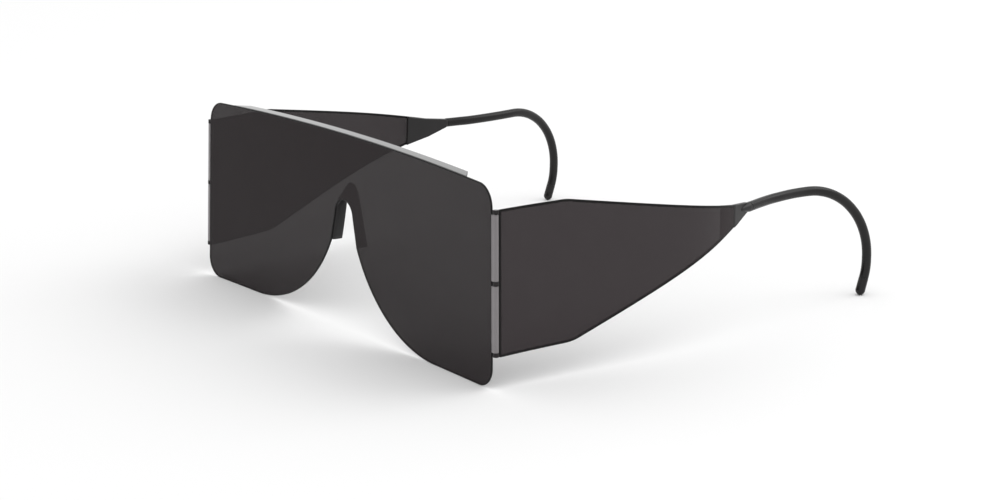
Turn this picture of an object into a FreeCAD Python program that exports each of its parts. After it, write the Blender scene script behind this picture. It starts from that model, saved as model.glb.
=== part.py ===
import FreeCAD, Part
import math
import os

import Sketcher

Vector = FreeCAD.Vector
Rotation = FreeCAD.Rotation
Placement = FreeCAD.Placement

ACROSS = Vector(1, 0, 0)
BACK = Vector(0, 1, 0)
UP = Vector(0, 0, 1)
LEFT, RIGHT = 1, -1

# Driving dimensions, in millimetres and degrees.
# The front frame has x across the face, y backwards and z up from the bottom of the lenses.
# Each side frame stands on its hinge axis: x outwards, y backwards, z up along the axis.
SIZES = {
    "sheet_thick": 0.5,
    "half_width": 76.9,
    "side_lean": 1.8,
    "side_height": 56.9,
    "arch_rise": 1.9,
    "bow_depth": 1.5,
    "top_corner": 6.5,
    "bottom_corner": 6.0,
    "lobe_centre": 48.0,
    "lobe_radius": 46.0,
    "slot_foot": 25.4,
    "slot_shoulder_half": 4.6,
    "slot_shoulder": 34.5,
    "slot_apex": 38.7,
    "saddle_foot_half": 6.5,
    "saddle_wall": 1.2,
    "saddle_depth": 3.4,
    "saddle_rear_shoulder_half": 3.9,
    "saddle_rear_shoulder": 38.6,
    "saddle_rear_apex": 42.8,
    "ledge_depth": 3.5,
    "ledge_half_front": 62.5,
    "ledge_half_rear": 57.9,
    "axis_out": 0.92,
    "axis_back": 0.82,
    "barrel_radius": 0.8,
    "knuckle_radius": 0.85,
    "knuckle_height": 1.2,
    "knuckle_top": 50.1,
    "knuckle_middle": 30.2,
    "knuckle_bottom": 10.1,
    "tongue_length": 3.0,
    "end_gap": 0.12,
    "pin_radius": 0.35,
    "pin_press": 0.01,
    "pin_clearance": 0.04,
    "glue_gap": 0.02,
    "film_front": 0.95,
    "film_end": 84.7,
    "film_front_low": 9.3,
    "film_front_high": 50.7,
    "film_brow": 22.6,
    "film_brow_high": 51.5,
    "film_cheek": 24.7,
    "film_cheek_low": 10.7,
    "film_end_low": 35.8,
    "film_end_high": 42.2,
    "film_bend_radius": 14.0,
    "paddle_front": 78.7,
    "paddle_thick": 0.9,
    "paddle_rear": 92.0,
    "paddle_front_low": 33.3,
    "paddle_front_high": 43.0,
    "paddle_waist": 86.0,
    "paddle_waist_low": 36.0,
    "paddle_neck_half": 1.35,
    "boss_length": 4.5,
    "wire_radius": 0.6,
    "wire_clearance": 0.05,
    "wire_embed": 3.5,
    "sleeve_radius": 1.5,
    "tip_length": 4.0,
    "root_out": -0.05,
    "root_back": 92.5,
    "root_up": 40.4,
    "dip_out": -2.5,
    "dip_back": 102.0,
    "dip_up": 40.9,
    "dip_bend": 45.0,
    "rise_out": -3.3,
    "rise_back": 113.5,
    "rise_up": 41.5,
    "rise_bend": 45.0,
    "crown_out": 0.9,
    "crown_back": 140.6,
    "crown_up": 41.8,
    "crown_bend": 22.0,
    "heel_out": 0.95,
    "heel_back": 140.6,
    "heel_up": 15.5,
    "heel_bend": 18.0,
    "end_out": 0.8,
    "end_back": 138.5,
    "end_up": 8.9,
    "stand_tilt": 3.09,
    "stand_back": 72.8,
    "stand_up": 0.108,
    "margin": 1.0,
    "reach": 200.0,
}

# Plan of a temple: how far outside the hinge axis it runs, at each distance behind it
PLAN_KNOTS = [(0, 0), (25, 2.53), (50, 5.79), (75, 5.06), (95, -0.96), (118, -2.74), (142, 1.3)]
FILM_STEPS = 8
PADDLE_STEPS = 2

# Largest share by which a bar's volume may differ from its section times its length
BAR_TOLERANCE = 0.005

doc = FreeCAD.newDocument("post_mydriatic_sunglasses")
sheet = doc.addObject("Spreadsheet::Sheet", "sizes")
for row, (alias, number) in enumerate(SIZES.items(), start=1):
    sheet.set(f"A{row}", alias)
    sheet.set(f"B{row}", str(number))
    sheet.setAlias(f"B{row}", alias)
doc.recompute()


def size(alias):
    """One driving dimension, read from the sheet."""
    return float(sheet.get(alias))


# The whole object stands on its lens edges and ear tips, so the front frame is tipped back a little.
STAND = Placement(Vector(0, -size("stand_back"), size("stand_up")), Rotation(ACROSS, -size("stand_tilt")))


def side_frame(side):
    """Placement of a side frame: on the hinge axis, leaning with the sheet's side edge."""
    foot = Vector(side * (size("half_width") + size("axis_out")), size("axis_back"), 0)
    return STAND.multiply(Placement(foot, Rotation(BACK, -side * size("side_lean"))))


class Outline:
    """One closed outline in a sketch, drawn from its start with lines, arcs and curves."""

    def __init__(self, sketch, start):
        self.sketch = sketch
        self.start = Vector(start[0], start[1], 0)
        self.here = self.start
        self.first = None
        self.last = None

    def vertex_at(self, index, point):
        """Which end of a sketch edge lies at a point: 1 for its start, 2 for its end."""
        starts_there = self.sketch.getPoint(index, 1).distanceToPoint(point)
        ends_there = self.sketch.getPoint(index, 2).distanceToPoint(point)
        return 1 if starts_there < ends_there else 2

    def add(self, geometry, end, radius_alias=None):
        """Adds an edge from here to end, joined to the edge before it."""
        index = self.sketch.addGeometry(geometry)
        near = (index, self.vertex_at(index, self.here))
        far = (index, 3 - near[1])
        if self.last:
            self.sketch.addConstraint(Sketcher.Constraint("Coincident", *self.last, *near))
        else:
            self.first = near
        if radius_alias:
            number = self.sketch.addConstraint(Sketcher.Constraint("Radius", index, size(radius_alias)))
            self.sketch.renameConstraint(number, f"{radius_alias}_{index}")
            self.sketch.setExpression(f"Constraints.{radius_alias}_{index}", f"sizes.{radius_alias}")
        self.last = far
        self.here = end

    def line(self, point):
        """A straight edge to a point."""
        end = Vector(point[0], point[1], 0)
        self.add(Part.LineSegment(self.here, end), end)

    def arc(self, middle, point, radius_alias=None):
        """A round edge through a middle point to an end point."""
        end = Vector(point[0], point[1], 0)
        through = Vector(middle[0], middle[1], 0)
        self.add(Part.Arc(self.here, through, end), end, radius_alias)

    def curve(self, points):
        """A smooth edge through several points, the last of which is its end."""
        spline = Part.BSplineCurve()
        spline.interpolate([self.here] + points)
        self.add(spline, points[-1])

    def round_corner(self, corner, after, radius_alias):
        """A straight edge towards a corner and the rounding that turns it towards the point after."""
        first, middle, last = rounding(self.here, corner, after, size(radius_alias))
        self.line(first)
        self.arc(middle, last, radius_alias)

    def close(self):
        """The last straight edge, back to the start."""
        if self.here.distanceToPoint(self.start) > 1e-6:
            self.line(self.start)
        self.sketch.addConstraint(Sketcher.Constraint("Coincident", *self.last, *self.first))


def rounding(before, corner, after, radius):
    """Start, middle and end of the arc that rounds a corner between two straight directions."""
    corner = Vector(corner[0], corner[1], corner[2] if len(corner) > 2 else 0)
    before = Vector(*before)
    after = Vector(after[0], after[1], after[2] if len(after) > 2 else 0)
    arriving = (before - corner).normalize()
    leaving = (after - corner).normalize()
    half_angle = arriving.getAngle(leaving) / 2
    tangent = radius / math.tan(half_angle)
    centre = corner + (arriving + leaving).normalize() * (radius / math.sin(half_angle))
    middle = centre + (corner - centre).normalize() * radius
    return corner + arriving * tangent, middle, corner + leaving * tangent


def mirrored(point):
    """The same sketch point on the other side of the upright axis."""
    return (-point[0], point[1])


def new_body(name):
    """An empty body whose label is its node's name."""
    body = doc.addObject("PartDesign::Body", name)
    body.Label = name
    return body


def new_sketch(body, role, name, offset=0):
    """A sketch on one of the body's own origin planes, or parallel to it."""
    sketch = body.newObject("Sketcher::SketchObject", f"{body.Name}_{name}")
    plane = next(item for item in body.Origin.OriginFeatures if item.Role == role)
    sketch.AttachmentSupport = [(plane, "")]
    sketch.MapMode = "FlatFace"
    sketch.AttachmentOffset = Placement(Vector(0, 0, offset), Rotation())
    return sketch


def pad(body, sketch, length, towards_normal=True):
    """A pad whose length is an expression on the sheet."""
    feature = body.newObject("PartDesign::Pad", f"{sketch.Name}_pad")
    feature.Profile = sketch
    feature.setExpression("Length", length)
    feature.Reversed = not towards_normal
    doc.recompute()
    return feature


def trim(body, role, name, draw):
    """Cuts away all of the body that lies outside an outline, straight through it."""
    sketch = new_sketch(body, role, name)
    far = size("reach")
    frame = Outline(sketch, (-far, -far))
    for corner in ((far, -far), (far, far), (-far, far)):
        frame.line(corner)
    frame.close()
    draw(sketch)
    before = body.Shape.Volume
    pocket = body.newObject("PartDesign::Pocket", f"{sketch.Name}_pocket")
    pocket.Profile = sketch
    pocket.SideType = "Symmetric"
    pocket.setExpression("Length", "sizes.reach")
    doc.recompute()
    if body.Shape.Volume >= before - 1e-6:
        raise RuntimeError(f"{sketch.Name} trims nothing")
    return pocket


# Rules of the front sheet: bowed in plan, arched along its top edge

def drop_from_middle(half_chord, rise, x):
    """How far a circular arc of that half chord and rise has dropped at x."""
    radius = (half_chord ** 2 + rise ** 2) / (2 * rise)
    return radius - math.sqrt(radius ** 2 - x ** 2)


def bow_at(x):
    """How far back the sheet's front face lies at x: the middle is behind the side edges."""
    return size("bow_depth") - drop_from_middle(size("half_width"), size("bow_depth"), x)


def top_half_width():
    """Half the sheet's width at the height of its top corners."""
    return size("half_width") - size("side_height") * math.tan(math.radians(size("side_lean")))


def arch_at(x):
    """Height of the sheet's arched top edge at x."""
    return size("side_height") + size("arch_rise") - drop_from_middle(top_half_width(), size("arch_rise"), x)


def bowed_edge(outline, half_from, half_to, setback):
    """Draws the sheet's plan arc, set back by a distance, from one x to another."""
    end = (half_to, bow_at(half_to) + setback)
    outline.arc((0, size("bow_depth") + setback), end)


def lobe_edge_at(height):
    """Where the round lower edge of a lens meets a height, on the side of the nose."""
    centre_up = size("lobe_radius")
    return size("lobe_centre") - math.sqrt(size("lobe_radius") ** 2 - (centre_up - height) ** 2)


def draw_sheet_outline(sketch):
    """The face outline of the front sheet: two lobed lenses, the nose slot and an arched top."""
    top = top_half_width()
    lobe = size("lobe_centre")
    radius = size("lobe_radius")
    slot_foot = (lobe_edge_at(size("slot_foot")), size("slot_foot"))
    bisector = Vector(slot_foot[0] - lobe, slot_foot[1] - radius, 0).normalize() + Vector(0, -1, 0)
    lobe_middle = Vector(lobe, radius, 0) + bisector.normalize() * radius
    shoulder = (size("slot_shoulder_half"), size("slot_shoulder"))
    bottom_corner = (size("half_width"), 0)
    top_corner = (top, size("side_height"))
    inwards = (top - size("margin"), arch_at(top - size("margin")))
    side_end, middle, arch_end = rounding((*bottom_corner, 0), top_corner, inwards, size("top_corner"))

    outline = Outline(sketch, mirrored(arch_end))
    outline.arc((0, size("side_height") + size("arch_rise")), arch_end)
    outline.arc(middle, side_end, "top_corner")
    outline.round_corner(bottom_corner, (lobe, 0), "bottom_corner")
    outline.line((lobe, 0))
    outline.arc(lobe_middle, slot_foot, "lobe_radius")
    outline.line(shoulder)
    outline.arc((0, size("slot_apex")), mirrored(shoulder))
    outline.line(mirrored(slot_foot))
    outline.arc(mirrored(lobe_middle), (-lobe, 0), "lobe_radius")
    outline.round_corner(mirrored(bottom_corner), mirrored(top_corner), "bottom_corner")
    outline.line(mirrored(side_end))
    outline.arc(mirrored(middle), mirrored(arch_end), "top_corner")
    outline.close()


def make_front_shield():
    """The tinted front sheet: a bowed ribbon, trimmed to the face outline."""
    body = new_body("front_shield")
    plan = new_sketch(body, "XY_Plane", "plan")
    half = size("half_width")
    outline = Outline(plan, (-half, bow_at(half)))
    bowed_edge(outline, -half, half, 0)
    outline.line((half, bow_at(half) + size("sheet_thick")))
    bowed_edge(outline, half, -half, size("sheet_thick"))
    outline.close()
    pad(body, plan, "sizes.side_height + 2 * sizes.arch_rise")
    trim(body, "XZ_Plane", "face", draw_sheet_outline)
    body.Placement = STAND
    return body


def make_brow_ledge():
    """The narrow strip that stands back from the top edge, arched and bowed like the sheet."""
    body = new_body("brow_ledge")
    front_half = size("ledge_half_front")
    rear_half = size("ledge_half_rear")
    thick = size("sheet_thick")
    arch = new_sketch(body, "XZ_Plane", "arch")
    outline = Outline(arch, (-front_half, arch_at(front_half)))
    outline.arc((0, arch_at(0)), (front_half, arch_at(front_half)))
    outline.line((front_half, arch_at(front_half) - thick))
    outline.arc((0, arch_at(0) - thick), (-front_half, arch_at(front_half) - thick))
    outline.close()
    pad(body, arch, "sizes.bow_depth + 2 * sizes.sheet_thick + 2 * sizes.ledge_depth", towards_normal=False)

    def draw_plan(sketch):
        setback = thick + size("ledge_depth")
        plan = Outline(sketch, (-front_half, bow_at(front_half) + thick))
        bowed_edge(plan, -front_half, front_half, thick)
        plan.line((rear_half, bow_at(rear_half) + setback))
        bowed_edge(plan, rear_half, -rear_half, setback)
        plan.close()

    trim(body, "XY_Plane", "plan", draw_plan)
    body.Placement = STAND
    return body


def draw_horseshoe(sketch, shoulder, apex_height):
    """One end of the nose saddle: two legs and a round crown, with a steady wall."""
    wall = size("saddle_wall")
    foot = (size("saddle_foot_half"), size("slot_foot"))
    outer_foot = (foot[0] + wall, foot[1])
    outer_shoulder = (shoulder[0] + wall, shoulder[1])
    outline = Outline(sketch, foot)
    outline.line(shoulder)
    outline.arc((0, apex_height), mirrored(shoulder))
    outline.line(mirrored(foot))
    outline.line(mirrored(outer_foot))
    outline.line(mirrored(outer_shoulder))
    outline.arc((0, apex_height + wall), outer_shoulder)
    outline.line(outer_foot)
    outline.close()


def make_nose_saddle():
    """The saddle that rests on the nose: its crown rises backwards from the slot."""
    body = new_body("nose_saddle")
    front_face = size("bow_depth") + size("sheet_thick")
    front = new_sketch(body, "XZ_Plane", "front", -front_face)
    draw_horseshoe(front, (size("slot_shoulder_half"), size("slot_shoulder")), size("slot_apex"))
    rear = new_sketch(body, "XZ_Plane", "rear", -front_face - size("saddle_depth"))
    rear_shoulder = (size("saddle_rear_shoulder_half"), size("saddle_rear_shoulder"))
    draw_horseshoe(rear, rear_shoulder, size("saddle_rear_apex"))
    loft = body.newObject("PartDesign::AdditiveLoft", "nose_saddle_loft")
    loft.Profile = front
    loft.Sections = [rear]
    loft.Ruled = True
    body.Placement = STAND
    return body


# Hinges: long barrels on the front, short knuckles and the pin on the temple

def circle(sketch, radius_expression, radius):
    """A full circle about the sketch's origin, with its radius bound to the sheet."""
    index = sketch.addGeometry(Part.Circle(Vector(), UP, radius))
    sketch.addConstraint(Sketcher.Constraint("Coincident", index, 3, -1, 1))
    number = sketch.addConstraint(Sketcher.Constraint("Radius", index, radius))
    sketch.renameConstraint(number, "hole_radius")
    sketch.setExpression("Constraints.hole_radius", radius_expression)


def make_hinge_barrel(name, side, low_knuckle, high_knuckle):
    """A long barrel between two knuckles, with a tail that butts on the sheet's side edge."""
    body = new_body(name)
    section = new_sketch(body, "XY_Plane", "section")
    radius = size("barrel_radius")
    edge = -size("axis_out")
    sheet_front = -size("axis_back")
    sheet_rear = sheet_front + size("sheet_thick")
    outline = Outline(section, (side * edge, sheet_front))
    outline.line((0, -radius))
    meeting = math.pi + math.asin(-sheet_rear / radius)
    half_way = (meeting - math.pi / 2) / 2
    outline.arc((side * radius * math.cos(half_way), radius * math.sin(half_way)),
                (side * radius * math.cos(meeting), sheet_rear))
    outline.line((side * edge, sheet_rear))
    outline.close()
    circle(section, "sizes.pin_radius + sizes.pin_clearance", size("pin_radius") + size("pin_clearance"))
    space = f"sizes.{high_knuckle} - sizes.{low_knuckle} - sizes.knuckle_height"
    pad(body, section, f"{space} - 2 * sizes.end_gap")
    base = size(low_knuckle) + size("knuckle_height") / 2 + size("end_gap")
    body.Placement = side_frame(side).multiply(Placement(UP * base, Rotation()))
    return body


def make_hinge_knuckle(name, side, middle_alias):
    """A short knuckle on the pin, with a tongue let into the side shield's front edge."""
    body = new_body(name)
    section = new_sketch(body, "XY_Plane", "section")
    radius = size("knuckle_radius")
    half = size("sheet_thick") / 2
    root = math.sqrt(radius ** 2 - half ** 2)
    tongue_end = size("film_front") + size("tongue_length")
    outline = Outline(section, (half, root))
    outline.line((half, tongue_end))
    outline.line((-half, tongue_end))
    outline.line((-half, root))
    outline.arc((0, -radius), (half, root), "knuckle_radius")
    outline.close()
    circle(section, "sizes.pin_radius + sizes.pin_press", size("pin_radius") + size("pin_press"))
    pad(body, section, "sizes.knuckle_height")
    base = size(middle_alias) - size("knuckle_height") / 2
    body.Placement = side_frame(side).multiply(Placement(UP * base, Rotation()))
    return body


def make_hinge_pin(name, side):
    """The thin pin that runs through all knuckles and barrels of one hinge."""
    pin = doc.addObject("Part::Cylinder", name)
    pin.Label = name
    pin.setExpression("Radius", "sizes.pin_radius")
    pin.setExpression("Height", "sizes.knuckle_top - sizes.knuckle_bottom + sizes.knuckle_height")
    base = size("knuckle_bottom") - size("knuckle_height") / 2
    pin.Placement = side_frame(side).multiply(Placement(UP * base, Rotation()))
    return pin


# Temples: a curved side shield, its paddle and the sheathed ear hook

plan_curve = Part.BSplineCurve()
plan_curve.interpolate([Vector(out, back, 0) for back, out in PLAN_KNOTS])


def plan_wall(side, back, offset):
    """Point of a wall parallel to the plan curve, at a distance behind the hinge."""
    low, high = plan_curve.FirstParameter, plan_curve.LastParameter
    while high - low > 1e-9:
        middle = (low + high) / 2
        if plan_curve.value(middle).y < back:
            low = middle
        else:
            high = middle
    along = Vector(*plan_curve.tangent(low)[0])
    outwards = Vector(along.y, -along.x, 0).normalize()
    point = plan_curve.value(low) + outwards * offset
    return Vector(side * point.x, point.y, 0)


def plan_walls(side, first, last, offset, steps):
    """Evenly spaced points along such a wall."""
    return [plan_wall(side, first + (last - first) * step / steps, offset) for step in range(steps + 1)]


def draw_film_outline(sketch):
    """Side view of the side shield: tall at the hinge, tapering to the ear hook.

    The knuckles' tongues lie in two open steps, above and below, and one notch between them.
    """
    front = size("film_front")
    end = size("film_end")
    gap = size("glue_gap")
    half = size("knuckle_height") / 2 + gap
    depth = front + size("tongue_length") + gap
    brow = (size("film_brow"), size("film_brow_high"))
    cheek = (size("film_cheek"), size("film_cheek_low"))
    end_low = (end, size("film_end_low"))
    high_start = (depth, size("film_front_high"))
    top, middle, bottom = (size(f"knuckle_{place}") for place in ("top", "middle", "bottom"))
    outline = Outline(sketch, (depth, size("film_front_low")))
    outline.round_corner(cheek, end_low, "film_bend_radius")
    outline.line(end_low)
    outline.line((end, size("film_end_high")))
    outline.round_corner(brow, high_start, "film_bend_radius")
    outline.line(high_start)
    outline.line((depth, top - half))
    outline.line((front, top - half))
    outline.line((front, middle + half))
    outline.line((depth, middle + half))
    outline.line((depth, middle - half))
    outline.line((front, middle - half))
    outline.line((front, bottom + half))
    outline.line((depth, bottom + half))
    outline.close()


def make_side_shield(name, side):
    """The tinted side sheet: a curved ribbon, trimmed to its side outline."""
    body = new_body(name)
    plan = new_sketch(body, "XY_Plane", "plan")
    half = size("sheet_thick") / 2
    front, end = size("film_front"), size("film_end")
    outer = plan_walls(side, front, end, half, FILM_STEPS)
    inner = plan_walls(side, front, end, -half, FILM_STEPS)
    outline = Outline(plan, outer[0])
    outline.curve(outer[1:])
    outline.line(inner[-1])
    outline.curve(inner[-2::-1])
    outline.close()
    pad(body, plan, "sizes.film_brow_high + sizes.margin")
    trim(body, "YZ_Plane", "side", draw_film_outline)
    body.Placement = side_frame(side)
    return body


def hook_corner(side, name):
    """A corner of the ear hook's path, in the side frame."""
    return Vector(side * size(f"{name}_out"), size(f"{name}_back"), size(f"{name}_up"))


def hook_path(side, lead_in, short_of_end):
    """Edges of the ear hook's centre line: straight runs joined by tangent arcs."""
    names = ["root", "dip", "rise", "crown", "heel", "end"]
    corners = [hook_corner(side, name) for name in names]
    first_way = (corners[1] - corners[0]).normalize()
    last_way = (corners[-1] - corners[-2]).normalize()
    corners[0] = corners[0] - first_way * lead_in
    corners[-1] = corners[-1] - last_way * short_of_end
    edges = []
    here = corners[0]
    for before, corner, after, name in zip(corners, corners[1:], corners[2:], names[1:]):
        first, middle, last = rounding(before, corner, after, size(f"{name}_bend"))
        edges.append(Part.LineSegment(here, first).toShape())
        edges.append(Part.Arc(first, middle, last).toShape())
        here = last
    edges.append(Part.LineSegment(here, corners[-1]).toShape())
    return edges


def pipe(edges, radius):
    """A round bar along a path; its volume has to be its section times its length."""
    path = Part.Wire(edges)
    start = edges[0].Vertexes[0].Point
    way = edges[0].Vertexes[1].Point - start
    bar = path.makePipeShell([Part.Wire(Part.makeCircle(radius, start, way))], True, False)
    expected = math.pi * radius ** 2 * path.Length
    if abs(bar.Volume - expected) > BAR_TOLERANCE * expected:
        raise RuntimeError(f"a bar of {bar.Volume:.1f} mm3 should have {expected:.1f} mm3")
    return bar


def draw_paddle_outline(sketch):
    """Side view of the paddle: an upright front edge, tapering up to the hook."""
    outline = Outline(sketch, (size("paddle_front"), size("paddle_front_low")))
    outline.line((size("paddle_waist"), size("paddle_waist_low")))
    outline.line((size("paddle_rear"), size("root_up") - size("paddle_neck_half")))
    outline.line((size("paddle_rear"), size("root_up") + size("paddle_neck_half")))
    outline.line((size("film_end"), size("film_end_high") - size("glue_gap")))
    outline.line((size("paddle_front"), size("paddle_front_high")))
    outline.close()


def make_ear_paddle(name, side):
    """The black paddle: a blade inside the film, a web behind it and a boss for the hook."""
    body = new_body(name)
    plan = new_sketch(body, "XY_Plane", "plan")
    half = size("sheet_thick") / 2
    gap = size("glue_gap")
    front, step, rear = size("paddle_front"), size("film_end") + gap, size("paddle_rear")
    inner = plan_walls(side, front, rear, -half - gap - size("paddle_thick"), PADDLE_STEPS)
    outer = plan_walls(side, rear, step, half, PADDLE_STEPS)
    blade = plan_walls(side, step, front, -half - gap, PADDLE_STEPS)
    outline = Outline(plan, inner[0])
    outline.arc(inner[1], inner[2])
    outline.line(outer[0])
    outline.arc(outer[1], outer[2])
    outline.line(blade[0])
    outline.arc(blade[1], blade[2])
    outline.close()
    pad(body, plan, "sizes.film_brow_high")
    trim(body, "YZ_Plane", "side", draw_paddle_outline)
    root = hook_corner(side, "root")
    way = (hook_corner(side, "dip") - root).normalize()
    turn = Rotation(UP, way)
    boss = body.newObject("PartDesign::AdditiveCylinder", f"{name}_boss")
    boss.setExpression("Radius", "sizes.sleeve_radius")
    boss.setExpression("Height", "sizes.boss_length")
    boss.Placement = Placement(root - way * size("boss_length"), turn)
    socket = body.newObject("PartDesign::SubtractiveCylinder", f"{name}_socket")
    socket.setExpression("Radius", "sizes.wire_radius + sizes.glue_gap")
    socket.setExpression("Height", "sizes.wire_embed + sizes.margin")
    socket.Placement = Placement(root - way * (size("wire_embed") + gap), turn)
    body.Placement = side_frame(side)
    return body


def make_ear_core(name, side):
    """The steel wire inside the hook, from the paddle's boss into the tip."""
    core = doc.addObject("Part::Feature", name)
    core.Label = name
    core.Shape = pipe(hook_path(side, size("wire_embed"), size("tip_length") / 2), size("wire_radius"))
    core.Placement = side_frame(side)
    return core


def make_ear_sleeve(name, side):
    """The soft black sleeve over the wire, from the boss to the tip."""
    outer = pipe(hook_path(side, 0, size("tip_length")), size("sleeve_radius"))
    bore = pipe(hook_path(side, 0, size("tip_length")), size("wire_radius") + size("wire_clearance"))
    sleeve = doc.addObject("Part::Feature", name)
    sleeve.Label = name
    sleeve.Shape = outer.cut(bore)
    sleeve.Placement = side_frame(side)
    return sleeve


def make_ear_tip(name, side):
    """The rounded end cap of the hook, bored for the wire's end."""
    body = new_body(name)
    profile = new_sketch(body, "XZ_Plane", "profile")
    radius = size("sleeve_radius")
    bore = size("wire_radius") + size("glue_gap")
    length = size("tip_length")
    floor = length / 2 - size("glue_gap")
    outline = Outline(profile, (0, -radius))
    slant = radius * math.sin(math.radians(45))
    outline.arc((slant, -slant), (radius, 0), "sleeve_radius")
    outline.line((radius, length))
    outline.line((bore, length))
    outline.line((bore, floor))
    outline.line((0, floor))
    outline.close()
    turned = body.newObject("PartDesign::Revolution", f"{name}_turned")
    turned.Profile = profile
    turned.ReferenceAxis = (profile, ["V_Axis"])
    turned.Angle = 360
    end = hook_corner(side, "end")
    way = (hook_corner(side, "heel") - end).normalize()
    body.Placement = side_frame(side).multiply(Placement(end, Rotation(UP, way)))
    return body


parts = [make_front_shield(), make_brow_ledge(), make_nose_saddle()]
for side_name, side in (("left", LEFT), ("right", RIGHT)):
    for place, low, high in (("upper", "middle", "top"), ("lower", "bottom", "middle")):
        name = f"hinge_barrel_{place}_{side_name}"
        parts.append(make_hinge_barrel(name, side, f"knuckle_{low}", f"knuckle_{high}"))
    for place in ("top", "middle", "bottom"):
        parts.append(make_hinge_knuckle(f"hinge_knuckle_{place}_{side_name}", side, f"knuckle_{place}"))
    parts.append(make_hinge_pin(f"hinge_pin_{side_name}", side))
    parts.append(make_side_shield(f"side_shield_{side_name}", side))
    parts.append(make_ear_paddle(f"ear_paddle_{side_name}", side))
    parts.append(make_ear_core(f"ear_core_{side_name}", side))
    parts.append(make_ear_sleeve(f"ear_sleeve_{side_name}", side))
    parts.append(make_ear_tip(f"ear_tip_{side_name}", side))
doc.recompute()

for item in doc.Objects:
    if "Invalid" in item.State or "Error" in item.State:
        raise RuntimeError(f"{item.Name} is {item.State}")

whole = FreeCAD.BoundBox()
os.makedirs("parts", exist_ok=True)
for part in parts:
    shape = part.Shape
    if shape.isNull() or not shape.isValid() or len(shape.Solids) != 1:
        raise RuntimeError(f"{part.Label} is not one valid solid")
    whole.add(shape.BoundBox)
    shape.exportStep(f"parts/{part.Label}.step")
    print(f"{part.Label}: {shape.Volume:.2f} mm3")
print(f"low corner {whole.XMin:.3f} {whole.YMin:.3f} {whole.ZMin:.3f}")
print(f"high corner {whole.XMax:.3f} {whole.YMax:.3f} {whole.ZMax:.3f}")
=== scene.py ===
import logging
import math
from dataclasses import dataclass, field
from enum import Enum
from typing import Callable, Iterable, Optional

import bmesh
import bpy
import numpy as np
from mathutils import Matrix, Vector


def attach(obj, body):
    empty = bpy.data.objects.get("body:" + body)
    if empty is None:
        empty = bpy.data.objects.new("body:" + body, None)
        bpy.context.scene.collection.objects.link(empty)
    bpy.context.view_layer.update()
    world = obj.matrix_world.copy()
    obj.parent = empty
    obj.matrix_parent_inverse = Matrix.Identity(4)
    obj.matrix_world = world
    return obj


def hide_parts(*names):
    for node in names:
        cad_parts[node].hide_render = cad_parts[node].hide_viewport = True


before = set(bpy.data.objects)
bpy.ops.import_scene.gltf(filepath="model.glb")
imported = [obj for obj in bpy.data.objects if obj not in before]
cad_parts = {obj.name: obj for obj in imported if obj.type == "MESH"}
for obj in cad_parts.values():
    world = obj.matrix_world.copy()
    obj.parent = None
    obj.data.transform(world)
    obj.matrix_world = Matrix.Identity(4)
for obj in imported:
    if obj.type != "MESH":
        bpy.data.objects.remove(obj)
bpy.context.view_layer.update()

LOG = logging.getLogger("sunglasses")
MM = 0.001
Point = tuple[float, float]
Triple = tuple[float, float, float]

# Points closer than this are one, in mm
NEAR = 1e-4
# Steps round a tube or a turned piece
AROUND = 32
# A face counts as lying flat where its normal has more than this along the thickness
FLAT = 0.5

# Sizes that the front and the temples share, in mm and degrees
HALF_WIDTH = 76.9
SIDE_LEAN = 1.8
FILM_THICK = 0.5
FILM_RIM = 0.12

# Where the front frame stands, in mm and degrees: tipped back, on the lens edges and the ear tips
STAND_TILT = 3.09
STAND_BACK = 72.8
STAND_UP = 0.108
FRONT_FRAME = (
    Matrix.Diagonal((MM, MM, MM, 1.0))
    @ Matrix.Translation((0.0, -STAND_BACK, STAND_UP))
    @ Matrix.Rotation(math.radians(-STAND_TILT), 4, "X")
)


class Side(Enum):
    """The wearer's left lies on +X, the wearer's right on -X."""

    LEFT = 1
    RIGHT = -1

    @property
    def word(self) -> str:
        """The side's word in the names of nodes and pieces."""
        return self.name.lower()

    @property
    def body(self) -> str:
        """The body that the side's temple is."""
        return f"temple_{self.word}"


class Slot(Enum):
    """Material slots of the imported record."""

    FILM = "smoke_film"
    LEDGE = "gloss_film"
    BARREL = "clear_smoke"
    SATIN = "satin_black"
    SOFT = "soft_black"


# Shader node groups and finishes

FLOAT, COLOUR = "NodeSocketFloat", "NodeSocketColor"
GEOMETRY, MATERIAL = "NodeSocketGeometry", "NodeSocketMaterial"

# Where a Mix node has its share, its two values and its result, for numbers and for colours
MIX_SOCKETS = {"FLOAT": (0, 2, 3, 0), "RGBA": (0, 6, 7, 2)}


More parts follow.
